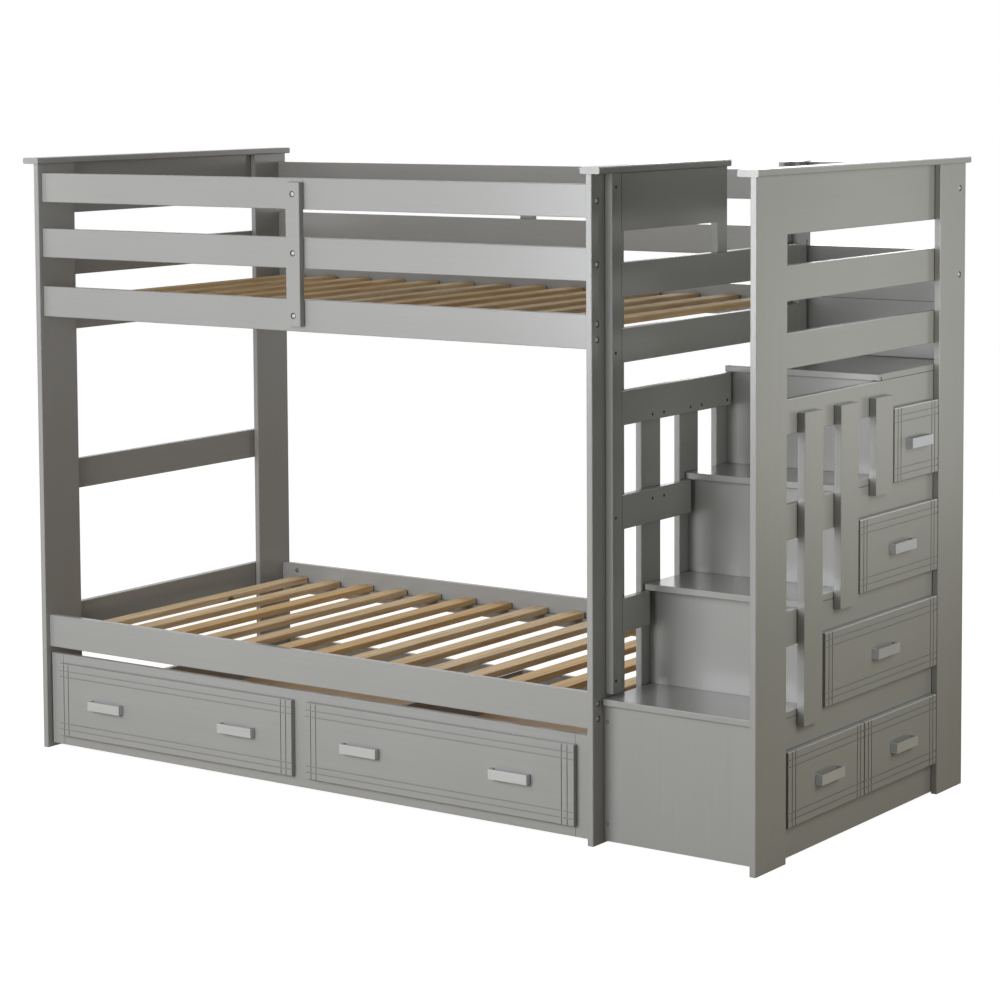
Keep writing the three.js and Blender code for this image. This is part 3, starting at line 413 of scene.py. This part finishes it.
pine = bare_pine("sawn_bare_pine", "#F2DAB4", "#E8C084", "#C09866", "#7E5A36")
print("made", pine.name)

# %% [markdown]
# ## Nickel and zinc
# The pulls are zinc castings with a brushed nickel plate. Bolts and screws are zinc-plated steel.
# Both are metals whose fine marks vary the shine a little. The nickel's are lines along the pull,
# drawn 2.4 mm coarse so that they show, and the zinc's are spots without a direction.

# %% Nickel and zinc
PLATE_ROUGH, SMOOTHER, ROUGHER = 0.36, 0.07, 0.09


def plated(name, colour, scratch_mm, stretch):
    """Plated metal whose fine brushing runs along the axes with the small stretch value."""
    material, tree, surface = fresh(name)
    place = add(tree, "ShaderNodeTexCoord").outputs["Object"]
    along = add(tree, "ShaderNodeMapping", {"Vector": place, "Scale": stretch})
    lines = add(tree, "ShaderNodeTexNoise", {"Vector": along.outputs[0], "Detail": 3,
                                             "Scale": per_metre(scratch_mm)})
    shine = add(tree, "ShaderNodeMapRange", {"Value": lines.outputs[0],
                                             "To Min": PLATE_ROUGH - SMOOTHER,
                                             "To Max": PLATE_ROUGH + ROUGHER})
    bump = add(tree, "ShaderNodeBump", {"Height": lines.outputs[0], "Strength": 0.04,
                                        "Distance": 0.0001})
    wire(tree, surface, {"Base Color": linear(colour), "Metallic": 1.0,
                         "Roughness": shine.outputs[0], "Normal": bump.outputs[0]})
    return material


nickel = plated("brushed_nickel_plate", "#BABEC1", 2.4, (0.03, 0.03, 1))
zinc = plated("zinc_plated_steel", "#A2A4A6", 3.0, (1, 1, 1))
print("made", nickel.name, "and", zinc.name)

# %% [markdown]
# ## Plywood and nylon
# Drawer boxes and the trundle's panels are birch plywood under a clear coat, whose plies show as
# fine level lines about 4 mm apart. The trundle rolls on moulded black nylon wheels, with the
# faint sparkle that a mould leaves. A nearly black copy of that moulded surface is painted shadow:
# it stands for the shade in screw holes, where hardly any light comes back.

# %% Plywood, nylon and shadowed holes
PLY_PALE, PLY_DARK, PLY_MM, PLY_STRETCH, PLY_ROUGH = "#CDAE82", "#AD8D60", 4, (0.06, 0.06, 1), 0.5
SPARK_MM, SPARK_SPREAD = 0.8, 0.06


def birch_plywood(name):
    """Clear-coated birch whose plies lie level."""
    material, tree, surface = fresh(name)
    place = add(tree, "ShaderNodeTexCoord").outputs["Object"]
    along = add(tree, "ShaderNodeMapping", {"Vector": place, "Scale": PLY_STRETCH})
    grain = add(tree, "ShaderNodeTexNoise", {"Vector": along.outputs[0], "Detail": 4,
                                             "Scale": per_metre(PLY_MM)})
    colour = add(tree, "ShaderNodeMix", {"Factor": grain.outputs[0], "A": linear(PLY_PALE),
                                         "B": linear(PLY_DARK)}, data_type="RGBA")
    bump = add(tree, "ShaderNodeBump", {"Height": grain.outputs[0], "Strength": 0.15,
                                        "Distance": 0.0003})
    wire(tree, surface, {"Base Color": colour.outputs[2], "Roughness": PLY_ROUGH,
                         "Normal": bump.outputs[0]})
    return material


def moulded(name, colour, rough):
    """A plastic skin with the fine grain of its mould."""
    material, tree, surface = fresh(name)
    place = add(tree, "ShaderNodeTexCoord").outputs["Object"]
    spark = add(tree, "ShaderNodeTexNoise", {"Vector": place, "Scale": per_metre(SPARK_MM),
                                             "Detail": 2})
    bump = add(tree, "ShaderNodeBump", {"Height": spark.outputs[0], "Strength": 0.2,
                                        "Distance": 0.0002})
    shine = add(tree, "ShaderNodeMapRange", {"Value": spark.outputs[0],
                                             "To Min": rough - SPARK_SPREAD,
                                             "To Max": rough + SPARK_SPREAD})
    wire(tree, surface, {"Base Color": linear(colour), "Roughness": shine.outputs[0],
                         "Normal": bump.outputs[0]})
    return material


birch = birch_plywood("birch_plywood")
nylon = moulded("moulded_black_nylon", "#242425", 0.5)
# Painted shadow: a nearly black surface that stands for the shade in holes and seams.
painted_hole_shadow = moulded("shadow_in_a_screw_hole", "#151413", 0.9)
print("materials:", len(bpy.data.materials))

# %% [markdown]
# ## Dress the boards
# The CAD nodes already have the right shapes, so each only gets its finish, by the material slot
# that the record names. A grey board also needs its grain the right way round: along its longest
# side, or along Y where several rails that run along Y are joined into one tall piece.

# %% Dress the frame's own nodes
FINISH = {"pine_slats": pine, "birch_ply": birch, "satin_nickel": nickel, "black_nylon": nylon}
SLOT_OF = {row["node"]: row["material_slot"] for row in frame["record"]["subparts"]}
RUN_ALONG_Y = ("left_end_ladder", "outer_end_ladder", "inner_stair_railing", "trundle_frame")


def grain_axis(name):
    """The way a board's grain runs: along its longest side, or along Y for joined rails."""
    low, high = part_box(name)
    size = high - low
    return "y" if name in RUN_ALONG_Y else "xyz"[max(range(3), key=lambda i: size[i])]


for name, node in frame["nodes"].items():
    material = FINISH.get(SLOT_OF[name]) or lacquer[grain_axis(name)]
    for slot in node.material_slots:
        slot.material = material
print("dressed", len(SLOT_OF), "nodes")

# %% [markdown]
# ## Slats by rule
# A slat deck follows a rule: one board, a count and a step. Geometry Nodes say that directly. The
# tree draws a rounded rectangle, extrudes it to the slat's length, closes its back and welds it,
# then lays it along Y. It sets one on each point of a line and gives every copy its own random
# size and tone. Realize Instances turns the copies into real boards, because the export drops
# instances. The first helper opens a tree with named inputs, and the second one ends it.

# %% A tree that lays slats
WELD_M, EASING_STEPS = 1e-5, 2
SMALLEST, LARGEST = (0.97, 0.998, 0.97), (1, 1, 1)


def node_tree(name, inputs):
    """A tree with named inputs, each given as label, kind and default, and its input sockets."""
    tree = bpy.data.node_groups.new(name, "GeometryNodeTree")
    for label, kind, value in inputs:
        socket = tree.interface.new_socket(label, in_out="INPUT", socket_type="NodeSocket" + kind)
        if value is not None:
            socket.default_value = value
    tree.interface.new_socket("Geometry", in_out="OUTPUT", socket_type="NodeSocketGeometry")
    return tree, add(tree, "NodeGroupInput").outputs


def finish_tree(tree, instances, material):
    """Turns the copies into a real mesh and gives it its material."""
    real = add(tree, "GeometryNodeRealizeInstances", {0: instances})
    done = add(tree, "GeometryNodeSetMaterial", {"Geometry": real.outputs[0],
                                                 "Material": material})
    add(tree, "NodeGroupOutput", {0: done.outputs[0]})


def slat_tree():
    """A row of slats that run along Y, from their count, sizes and tones."""
    tree, given = node_tree("slat_deck", [
        ("Count", "Int", 14), ("First", "Vector", None), ("Step", "Vector", None),
        ("Length", "Float", 1.0), ("Width", "Float", 0.05), ("Thickness", "Float", 0.018),
        ("Edge", "Float", 0.002), ("Seed", "Int", 1), ("Palest", "Float", 0.0),
        ("Warmest", "Float", 1.0), ("Material", "Material", None)])
    section = add(tree, "GeometryNodeCurvePrimitiveQuadrilateral",
                  {"Width": given["Width"], "Height": given["Thickness"]})
    eased = add(tree, "GeometryNodeFilletCurve", {"Curve": section.outputs[0],
                                                  "Count": EASING_STEPS,
                                                  "Radius": given["Edge"]}, mode="POLY")
    face = add(tree, "GeometryNodeFillCurve", {"Curve": eased.outputs[0]}, mode="NGONS")
    push = add(tree, "ShaderNodeCombineXYZ", {"Z": given["Length"]})
    drawn = add(tree, "GeometryNodeExtrudeMesh", {"Mesh": face.outputs[0],
                                                  "Offset": push.outputs[0],
                                                  "Offset Scale": 1.0, "Individual": False})
    back = add(tree, "GeometryNodeFlipFaces", {"Mesh": face.outputs[0]})
    closed = add(tree, "GeometryNodeJoinGeometry")
    tree.links.new(drawn.outputs[0], closed.inputs[0])
    tree.links.new(back.outputs[0], closed.inputs[0])
    welded = add(tree, "GeometryNodeMergeByDistance", {0: closed.outputs[0], "Distance": WELD_M})
    half = add(tree, "ShaderNodeMath", {0: given["Length"], 1: -0.5}, operation="MULTIPLY")
    middle = add(tree, "ShaderNodeCombineXYZ", {"Z": half.outputs[0]})
    centred = add(tree, "GeometryNodeTransform", {"Geometry": welded.outputs[0],
                                                  "Translation": middle.outputs[0]})
    laid = add(tree, "GeometryNodeTransform", {"Geometry": centred.outputs[0],
                                               "Rotation": (math.radians(90), 0, 0)})
    row = add(tree, "GeometryNodeMeshLine", {"Count": given["Count"], "Offset": given["Step"],
                                             "Start Location": given["First"]})
    sawn = add(tree, "FunctionNodeRandomValue", {"Min": SMALLEST, "Max": LARGEST,
                                                 "Seed": given["Seed"]},
               data_type="FLOAT_VECTOR")
    boards = add(tree, "GeometryNodeInstanceOnPoints",
                 {"Points": row.outputs[0], "Instance": laid.outputs[0],
                  "Scale": sawn.outputs[0]})
    tone = add(tree, "FunctionNodeRandomValue", {"Seed": given["Seed"], 2: given["Palest"],
                                                 3: given["Warmest"]}, data_type="FLOAT")
    marked = add(tree, "GeometryNodeStoreNamedAttribute",
                 {"Geometry": boards.outputs[0], "Name": "board", "Value": tone.outputs[1]},
                 data_type="FLOAT", domain="INSTANCE")
    finish_tree(tree, marked.outputs[0], given["Material"])
    return tree


slat_rule = slat_tree()
print("tree:", slat_rule.name, "nodes:", len(slat_rule.nodes))

# %% [markdown]
# ## From a rule or a cutting list to a mesh
# A tree works as a modifier on an object. The first helper sets the modifier's inputs by their
# identifiers, lets Blender work it out once, keeps the result as a plain mesh and takes the
# modifier off again. The second makes plain boards from their corners, with a small bevel. The
# objects stay at the origin, as the CAD's own pieces do.

# %% Grow a piece, join boards


def grow(name, tree, values, seed_mesh=None):
    """Runs a tree on an object and keeps the result as a plain mesh."""
    base = seed_mesh or bpy.data.meshes.new(name + "_base")
    piece = bpy.data.objects.new(name, base)
    bpy.context.scene.collection.objects.link(piece)
    modifier = piece.modifiers.new("grow", "NODES")
    modifier.node_group = tree
    for socket in tree.interface.items_tree:
        if socket.in_out == "INPUT" and socket.name in values:
            modifier[socket.identifier] = values[socket.name]
    bpy.context.view_layer.update()
    graph = bpy.context.evaluated_depsgraph_get()
    plain = bpy.data.meshes.new_from_object(piece.evaluated_get(graph), depsgraph=graph,
                                            preserve_all_data_layers=True)
    piece.modifiers.remove(modifier)
    piece.data = plain
    plain.name = name
    return piece


def joined(name, boxes, edge, material):
    """Boards with eased edges, each given by two corners in millimetres, as one mesh."""
    builder = bmesh.new()
    for low, high in boxes:
        made = bmesh.ops.create_cube(builder, size=1)["verts"]
        lo, hi = at(*low), at(*high)
        for vert in made:
            vert.co = Vector([lo[i] if vert.co[i] < 0 else hi[i] for i in range(3)])
    if edge:
        bmesh.ops.bevel(builder, geom=builder.edges[:], offset=edge / MM_PER_M, segments=2,
                        affect="EDGES", profile=0.5)
    mesh = bpy.data.meshes.new(name)
    builder.to_mesh(mesh)
    builder.free()
    mesh.materials.append(material)
    piece = bpy.data.objects.new(name, mesh)
    bpy.context.scene.collection.objects.link(piece)
    return piece


print("helpers ready:", grow.__name__, "and", joined.__name__)

# %% [markdown]
# ## Slats and ledges
# Fourteen slats lie on ledge strips that run along both side rails, and stop a little short of the
# rear rail. The ledges are lacquered with the rails, so they read as grey shelves under the bare
# wood, and a board with a small bevel is enough for each. Each deck has its own seed and its own
# mix of pale and warm boards, from 0, the palest pine, to 1, the warmest. Sizes are in millimetres.

# %% Lay the decks
SLAT_THICK, SLAT_WIDE, SLAT_EDGE, SLAT_COUNT = 18, 54, 1.5, 14
SLAT_TO_POST, RAIL_PLAY, SIDE_PLAY, REAR_PLAY = 84, 0.3, 1.4, 5
LEDGE_WIDE, LEDGE_EDGE = 21.7, 1
FIRST_X = tape("left_front_post")[1].x + SLAT_TO_POST
LAST_X = tape("upper_front_side_rail")[1].x + RAIL_PLAY - SLAT_TO_POST


def deck(node, seed, palest, warmest):
    """Slats and ledge strips in place of one of the frame's slat nodes."""
    low, high = tape(node)
    step = (LAST_X - FIRST_X) / (SLAT_COUNT - 1)
    slats = grow(node + "_pine", slat_rule, {
        "Count": SLAT_COUNT, "Step": (step / MM_PER_M, 0, 0), "Width": SLAT_WIDE / MM_PER_M,
        "First": at(FIRST_X, (low.y + high.y - REAR_PLAY) / 2, high.z - SLAT_THICK / 2),
        "Length": (high.y - low.y - SIDE_PLAY - REAR_PLAY) / MM_PER_M,
        "Thickness": SLAT_THICK / MM_PER_M, "Edge": SLAT_EDGE / MM_PER_M, "Seed": seed,
        "Palest": palest, "Warmest": warmest, "Material": pine})
    under = high.z - SLAT_THICK
    ledges = joined(node + "_ledges", [
        ((low.x, low.y, low.z), (high.x, low.y + LEDGE_WIDE, under)),
        ((low.x, high.y - LEDGE_WIDE, low.z), (high.x, high.y, under))],
        LEDGE_EDGE, lacquer["x"])
    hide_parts(node)
    for piece, slot in ((slats, "pine_slats"), (ledges, "grey_paint")):
        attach(piece, "bed")
    print(node, "slats:", SLAT_COUNT, "faces:", len(slats.data.polygons))


deck("upper_slats", 3, 0.05, 0.8)
deck("lower_slats", 8, 0.0, 0.9)

# %% [markdown]
# ## Patterns for bolts and screws
# The posts are bolted to the long rails with button-head bolts: a low dome with a hex socket, sunk
# in a counterbore. Battens, rails and balusters are screwed; where only the hole shows, a thin dark
# disc on the face is painted shadow for the hole. A barrel nut is a flat disc with a shallow socket.
# Each is a body turned on a lathe, so it is given as rings from the back to the front: radius and
# height in millimetres, and how far the ring is six-sided rather than round.

# %% One of each head
HEX_SIDES, SUNK = 6, 4.5


def ringed(name, rings, material, sides=24):
    """A closed body made of rings along Z. Each ring is radius, height and how six-sided it is."""
    builder = bmesh.new()
    loops = []
    flat_turn = 2 * math.pi / HEX_SIDES
    for radius, height, hexed in rings:
        loop = []
        for k in range(sides):
            turn = 2 * math.pi * k / sides
            flat = math.cos(flat_turn / 2) / math.cos((turn % flat_turn) - flat_turn / 2)
            r = radius * (1 - hexed + hexed * flat) / MM_PER_M
            loop.append(builder.verts.new((r * math.cos(turn), r * math.sin(turn),
                                           height / MM_PER_M)))
        loops.append(loop)
    for one, two in zip(loops, loops[1:]):
        for k in range(sides):
            n = (k + 1) % sides
            builder.faces.new((one[k], one[n], two[n], two[k]))
    builder.faces.new(loops[0][::-1])
    builder.faces.new(loops[-1])
    mesh = bpy.data.meshes.new(name)
    builder.to_mesh(mesh)
    builder.free()
    mesh.materials.append(material)
    return bpy.data.objects.new(name, mesh)


bolt_head = ringed("bolt_head_pattern", [
    (7.1, -SUNK + 0.05, 0), (7.1, -SUNK + 0.6, 0), (6.7, -SUNK + 2.0, 0), (5.8, -SUNK + 3.0, 0),
    (4.9, -SUNK + 3.75, 0), (3.3, -SUNK + 3.8, 0.4), (3.1, -SUNK + 3.6, 1),
    (3.0, -SUNK + 3.3, 1)], zinc)
# Painted shadow: a thin dark disc on the face stands for the screw hole.
screw_hole = ringed("screw_hole_pattern", [
    (4.2, 0.02, 0), (4.2, 0.14, 0), (3.9, 0.2, 0)], painted_hole_shadow, 16)
screw_head = ringed("screw_head_pattern", [
    (3.9, 0.02, 0), (3.9, 0.3, 0), (3.5, 0.55, 0), (1.6, 0.6, 0.6), (1.4, 0.25, 1)], zinc, 18)
barrel_nut = ringed("barrel_nut_pattern", [
    (4.4, 0.02, 0), (4.4, 0.4, 0), (4.0, 0.5, 0), (2.4, 0.5, 0.3), (2.2, 0.35, 0.3)], zinc, 20)
print("bolt head faces:", len(bolt_head.data.polygons))

# %% [markdown]
# ## A tree that sets fasteners
# The second rule sets a pattern on every marked point and turns it the way the point looks. Each
# point carries that direction as its attribute named out, so bolts in a post's side and in a
# strap's front share one tree.

# %% Set fasteners on points


def fastener_tree():
    """One pattern on every point, turned the way the point looks."""
    tree, given = node_tree("fasteners_on_points", [
        ("Geometry", "Geometry", None), ("Head", "Object", None), ("Size", "Float", 1.0),
        ("Material", "Material", None)])
    head = add(tree, "GeometryNodeObjectInfo", {"Object": given["Head"]})
    facing = add(tree, "GeometryNodeInputNamedAttribute", {"Name": "out"},
                 data_type="FLOAT_VECTOR")
    turn = add(tree, "FunctionNodeAlignRotationToVector", {"Vector": facing.outputs[0]}, axis="Z")
    set_in = add(tree, "GeometryNodeInstanceOnPoints",
                 {"Points": given["Geometry"], "Instance": head.outputs["Geometry"],
                  "Rotation": turn.outputs[0], "Scale": given["Size"]})
    finish_tree(tree, set_in.outputs[0], given["Material"])
    return tree


def fasten(name, spots, head, material, body, size=1.0):
    """Sets one head on every spot. A spot is a point in millimetres and the way it looks."""
    mesh = bpy.data.meshes.new(name + "_points")
    mesh.from_pydata([at(*point) for point, _ in spots], [], [])
    facing = mesh.attributes.new("out", "FLOAT_VECTOR", "POINT")
    for k, (_, out) in enumerate(spots):
        facing.data[k].vector = out
    piece = grow(name, fastener_rule, {"Head": head, "Size": size, "Material": material}, mesh)
    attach(piece, body)
    print(name, "count:", len(spots), "faces:", len(piece.data.polygons))


fastener_rule = fastener_tree()
print("tree:", fastener_rule.name, "nodes:", len(fastener_rule.nodes))

# %% [markdown]
# ## Bolts
# Each post of the bunk has six bolts, 27 mm in from its edge: one for each guard rail and a pair
# for each side rail. The right rear post shows only one, above the landing. The outer rear post
# has two, and the straps that tie the guard rails have three each.

# %% Bolts in the posts and straps
LEFT, RIGHT, FRONT, REAR = (-1, 0, 0), (1, 0, 0), (0, -1, 0), (0, 1, 0)
POST_THICK, GUARD_HIGH, GUARD_DROPS = 18, 86, (113, 277)
BOLT_IN, PAIR = 27, 40
OUTER_IN, OUTER_DROPS, STRAP_X = 35, (309, 69), 985.5


def bolt_heights():
    """Bolt heights in a post: one for each guard rail, two for each side rail."""
    top = tape("left_front_post")[1].z
    heights = [top - drop + GUARD_HIGH / 2 for drop in GUARD_DROPS]
    for node in ("upper_front_side_rail", "lower_front_side_rail"):
        low, high = tape(node)
        middle = (low.z + high.z) / 2
        heights += [middle - PAIR / 2, middle + PAIR / 2]
    return heights


post_low, post_high = tape("right_front_post")
rear_edge = tape("right_rear_post")[1].y
outer_high = tape("outer_rear_post")[1]
bunk_end = post_low.x + POST_THICK
heights = bolt_heights()
bolts = []
for z in heights:
    bolts += [((bunk_end, post_low.y + BOLT_IN, z), RIGHT), ((0, BOLT_IN, z), LEFT),
              ((0, rear_edge - BOLT_IN, z), LEFT)]
bolts.append(((bunk_end, rear_edge - BOLT_IN, heights[1]), RIGHT))
bolts += [((outer_high.x, outer_high.y - OUTER_IN, outer_high.z - drop), RIGHT)
          for drop in OUTER_DROPS]
for node, side, out in (("front_guard", 0, FRONT), ("rear_guard", 1, REAR)):
    face = tape(node)[side].y
    for z in (heights[0], heights[1], (heights[2] + heights[3]) / 2):
        bolts.append(((STRAP_X, face, z), out))
fasten("button_head_bolts", bolts, bolt_head, zinc, "bed")

# %% [markdown]
# ## Screws
# The batten inside the right end frame has a screw at each rail, and the railing's two upper rails
# have one or two at each baluster; at each, a dark disc of painted shadow stands for the hole. Two
# more hold the first riser, and there zinc heads sit on those dark discs. Places are Y and Z, or a
# height and its Ys, in millimetres.

# %% Screws in the batten, railing and riser
BATTEN_SCREWS = ((83, 1718), (80, 1288), (79, 857), (78, 428))
RAIL_SCREWS = ((1111, (260, 318, 455.5, 513.5, 651)), (887, (260, 318)))
RISER_X, RISER_Y, RISER_HEIGHTS = 1975.5, 55, (322, 51)
HEAD_PROUD, HEAD_SIZE = 0.1, 0.7
inner_face = post_high.x
screws = [((inner_face, y, z), RIGHT) for y, z in BATTEN_SCREWS]
for height, places in RAIL_SCREWS:
    screws += [((inner_face, y, height), RIGHT) for y in places]
screws += [((RISER_X, RISER_Y, z), FRONT) for z in RISER_HEIGHTS]
# Painted shadow: dark discs stand for the screw holes.
fasten("plain_screw_holes", screws, screw_hole, painted_hole_shadow, "bed")
riser_heads = [((RISER_X, RISER_Y - HEAD_PROUD, z), FRONT) for z in RISER_HEIGHTS]
fasten("riser_screw_heads", riser_heads, screw_head, zinc, "bed", HEAD_SIZE)

# %% [markdown]
# ## Barrel nuts
# The bolts in the posts end in barrel nuts, which sit in cross holes on the inner faces of the
# side rails, near both ends. Each is a small bright disc on a wider dark disc, which is painted
# shadow for the cross hole.

# %% Barrel nuts in the side rails
NUT_IN, NUT_DROP, HOLE_SIZE = 61, 22, 1.6
nuts = []
for side, out in (("front", REAR), ("rear", FRONT)):
    for deck_name in ("upper", "lower"):
        low, high = tape(f"{deck_name}_{side}_side_rail")
        face = high.y if out == REAR else low.y
        nuts += [((x, face, high.z - NUT_DROP), out) for x in (low.x + NUT_IN, high.x - NUT_IN)]
# Painted shadow: a wider dark disc stands for the shade in each cross hole.
fasten("barrel_nut_holes", nuts, screw_hole, painted_hole_shadow, "bed", HOLE_SIZE)
fasten("barrel_nuts", nuts, barrel_nut, zinc, "bed")

# %% [markdown]
# ## Notch and seam
# Two small dark marks are left: a notch in the landing's outer edge, and the seam in the lower rear
# board. Both are shadows more than shapes, so a thin strip of the nearly black painted shadow
# stands in each.

# %% Painted shadow in the landing's notch and in the rear board's seam
NOTCH_LOW, NOTCH_HIGH, NOTCH_DEEP, NOTCH_PROUD = (687.5, 1187), (692.5, 1196), 0.4, 0.1
SEAM_DROP, SEAM_HALF, SEAM_NEAR, SEAM_FAR = 388, 0.55, 0.3, 1.1
edge_x = tape("stair_landing")[1].x
notch = joined("landing_notch", [((edge_x - NOTCH_DEEP, *NOTCH_LOW),
                                  (edge_x + NOTCH_PROUD, *NOTCH_HIGH))], 0, painted_hole_shadow)
low, high = tape("stair_rear_low_board")
seam_z = post_high.z - SEAM_DROP
seam = joined("rear_board_seam", [((low.x, low.y + SEAM_NEAR, seam_z - SEAM_HALF),
                                   (high.x, low.y + SEAM_FAR, seam_z + SEAM_HALF))],
              0, painted_hole_shadow)
for piece in (notch, seam):
    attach(piece, "bed")
print("seam at", round(seam_z), "mm")
